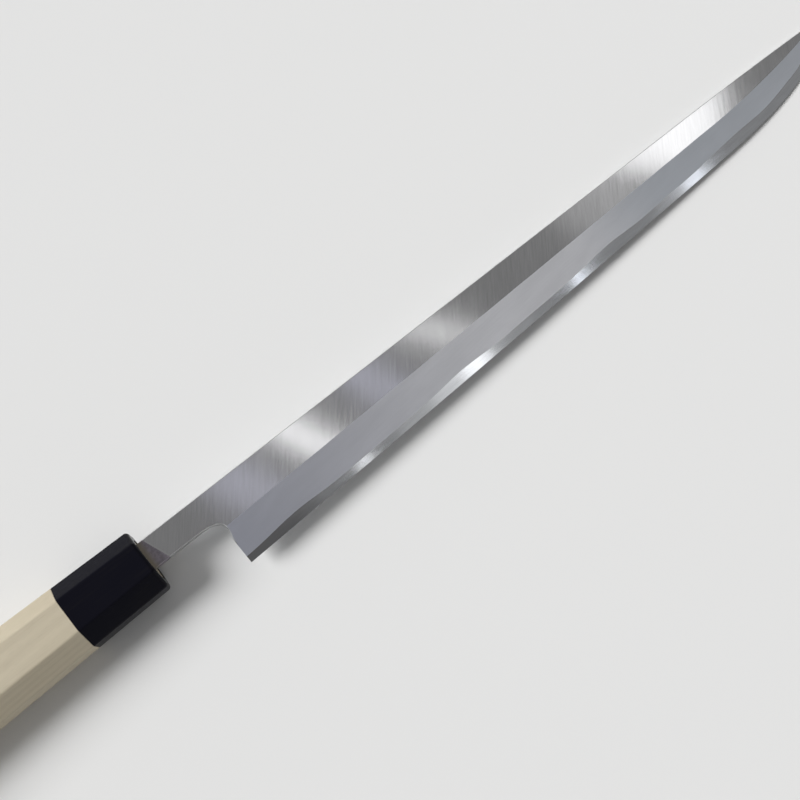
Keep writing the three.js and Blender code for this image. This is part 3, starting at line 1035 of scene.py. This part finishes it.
COOL_TINT = (0.91, 0.94, 1.0)
VIOLET_TINT = (0.80, 0.81, 1.0)
STRIP_LAMPS = (
    StripLamp("flat_lamp_1", (0.286, 0.299), (0.371, 0.137), 0.067, 0.37, VIOLET_TINT),
    StripLamp("flat_lamp_2", (0.408, 0.302), (0.505, 0.124), 0.040, 1.6),
    StripLamp("flat_lamp_3", (0.567, 0.299), (0.637, 0.137), 0.054, 0.44, VIOLET_TINT),
    StripLamp("flat_lamp_4", (0.684, 0.290), (0.803, 0.155), 0.041, 0.98),
    StripLamp("flat_lamp_5", (1.080, 0.344), (1.188, 0.128), 0.130, 0.20),
    StripLamp("flat_lamp_6", (1.222, 0.417), (1.458, 0.180), 0.215, 1.32),
    StripLamp("edge_lamp_1", (0.504, -0.19), (0.514, -0.35), 0.013, 1.80),
    StripLamp("edge_lamp_2", (0.619, -0.16), (0.629, -0.34), 0.080, 0.15),
    StripLamp("edge_lamp_3", (0.692, -0.13), (0.702, -0.33), 0.070, 0.38),
    StripLamp("edge_lamp_4", (0.760, -0.13), (0.770, -0.33), 0.060, 1.15),
    StripLamp("edge_lamp_5", (0.855, -0.12), (0.865, -0.31), 0.080, 0.07),
    StripLamp("edge_lamp_6", (1.012, -0.10), (1.022, -0.27), 0.016, 2.3, COOL_TINT),
    StripLamp("edge_lamp_7", (1.265, -0.05), (1.275, -0.22), 0.070, 0.12),
    StripLamp("edge_lamp_8", (1.323, -0.04), (1.333, -0.21), 0.046, 1.25, COOL_TINT),
)


def make_floor(settings):
    """A floor that just touches the ferrule and the tip, on which the knife lies a little tilted."""
    ferrule_touch = Vector((FRONT_X, 0, -FRONT_SIZE.y / 2))
    tip_touch = Vector((TIP_X, 0, BACK_Z))
    run = tip_touch - ferrule_touch
    bpy.ops.object.select_all(action="DESELECT")
    bpy.ops.mesh.primitive_plane_add(
        size=FLOOR_SPAN,
        location=tip_touch - Vector((0, 0, FLOOR_GAP)),
        rotation=(0, -math.atan2(run.z, run.x), 0),
    )
    floor = named(bpy.context.object, "floor")
    bpy.ops.object.transform_apply(location=True, rotation=True, scale=True)
    floor.data.materials.append(floor_paint(settings))
    floor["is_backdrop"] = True


def make_world(settings):
    """Grey surroundings, pale at the horizon and dim overhead."""
    world = bpy.data.worlds.new("studio")
    bpy.context.scene.world = world
    finish = Finish(world)
    direction = finish.node("TexCoord", {}, {}, "Generated")
    height = finish.node("SeparateXYZ", {}, {0: direction}, 2)
    horizon = [settings.horizon_level] * 3
    overhead = [settings.overhead_level] * 3
    sky = finish.blend(horizon, overhead, height.ramp(0, settings.horizon_height))
    shader = finish.node("Background", {}, {"Color": sky, "Strength": 1.0})
    finish.node("OutputWorld", {}, {"Surface": shader})


def make_lamps(settings):
    bpy.ops.object.light_add(type="SUN", rotation=KEY_DIRECTION.to_track_quat("Z", "Y").to_euler())
    key = bpy.context.object
    key.name = "key_light"
    key.data.energy = settings.sun_strength
    key.data.angle = settings.sun_width
    for lamp in STRIP_LAMPS:
        lamp.hang(settings.lamp_height)


def make_camera(settings):
    bpy.ops.object.camera_add(location=settings.camera_place, rotation=settings.camera_turn)
    camera = bpy.context.object
    camera.name = "camera"
    camera.data.sensor_width = 36
    camera.data.lens = settings.lens
    camera.data.clip_start = 0.01
    bpy.context.scene.camera = camera


class KNIFE_OT_set_stage(Operator):
    """Lay the floor, hang the lamps and place the camera"""

    bl_idname = "knife.set_stage"
    bl_label = "Set the stage"

    def execute(self, context):
        settings = context.scene.knife_stage
        context.scene.view_settings.view_transform = "Standard"
        make_floor(settings)
        make_world(settings)
        make_lamps(settings)
        make_camera(settings)
        return {"FINISHED"}


# Add-on

OPERATORS = (
    KNIFE_OT_finish_iron,
    KNIFE_OT_finish_steel,
    KNIFE_OT_make_ferrule,
    KNIFE_OT_make_handle,
    KNIFE_OT_set_stage,
)
SETTINGS = {
    "knife_blade": KnifeBladeSettings,
    "knife_handle": KnifeHandleSettings,
    "knife_ferrule": KnifeFerruleSettings,
    "knife_stage": KnifeStageSettings,
}


class KNIFE_PT_sidebar(Panel):
    """Steps of the knife's making, with their sizes and colours"""

    bl_label = "Tuna Knife"
    bl_space_type = "VIEW_3D"
    bl_region_type = "UI"
    bl_category = "Knife"

    def draw(self, context):
        for operator in OPERATORS:
            self.layout.operator(operator.bl_idname)
        for name, group in SETTINGS.items():
            box = self.layout.box()
            for prop in group.__annotations__:
                box.prop(getattr(context.scene, name), prop)


CLASSES = (*SETTINGS.values(), *OPERATORS, KNIFE_PT_sidebar)


def register():
    for cls in CLASSES:
        bpy.utils.register_class(cls)
    for name, group in SETTINGS.items():
        setattr(bpy.types.Scene, name, PointerProperty(type=group))


def unregister():
    for name in SETTINGS:
        delattr(bpy.types.Scene, name)
    for cls in reversed(CLASSES):
        bpy.utils.unregister_class(cls)


def main():
    register()
    bpy.ops.knife.set_stage()
    bpy.ops.knife.finish_iron()
    bpy.ops.knife.finish_steel()
    bpy.ops.knife.make_ferrule()
    bpy.ops.knife.make_handle()
    boxes = {"cad": CAD_BOX, "visual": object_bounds()}
    {name: [list(corner) for corner in box] for name, box in boxes.items()}


if __name__ == "__main__":
    main()
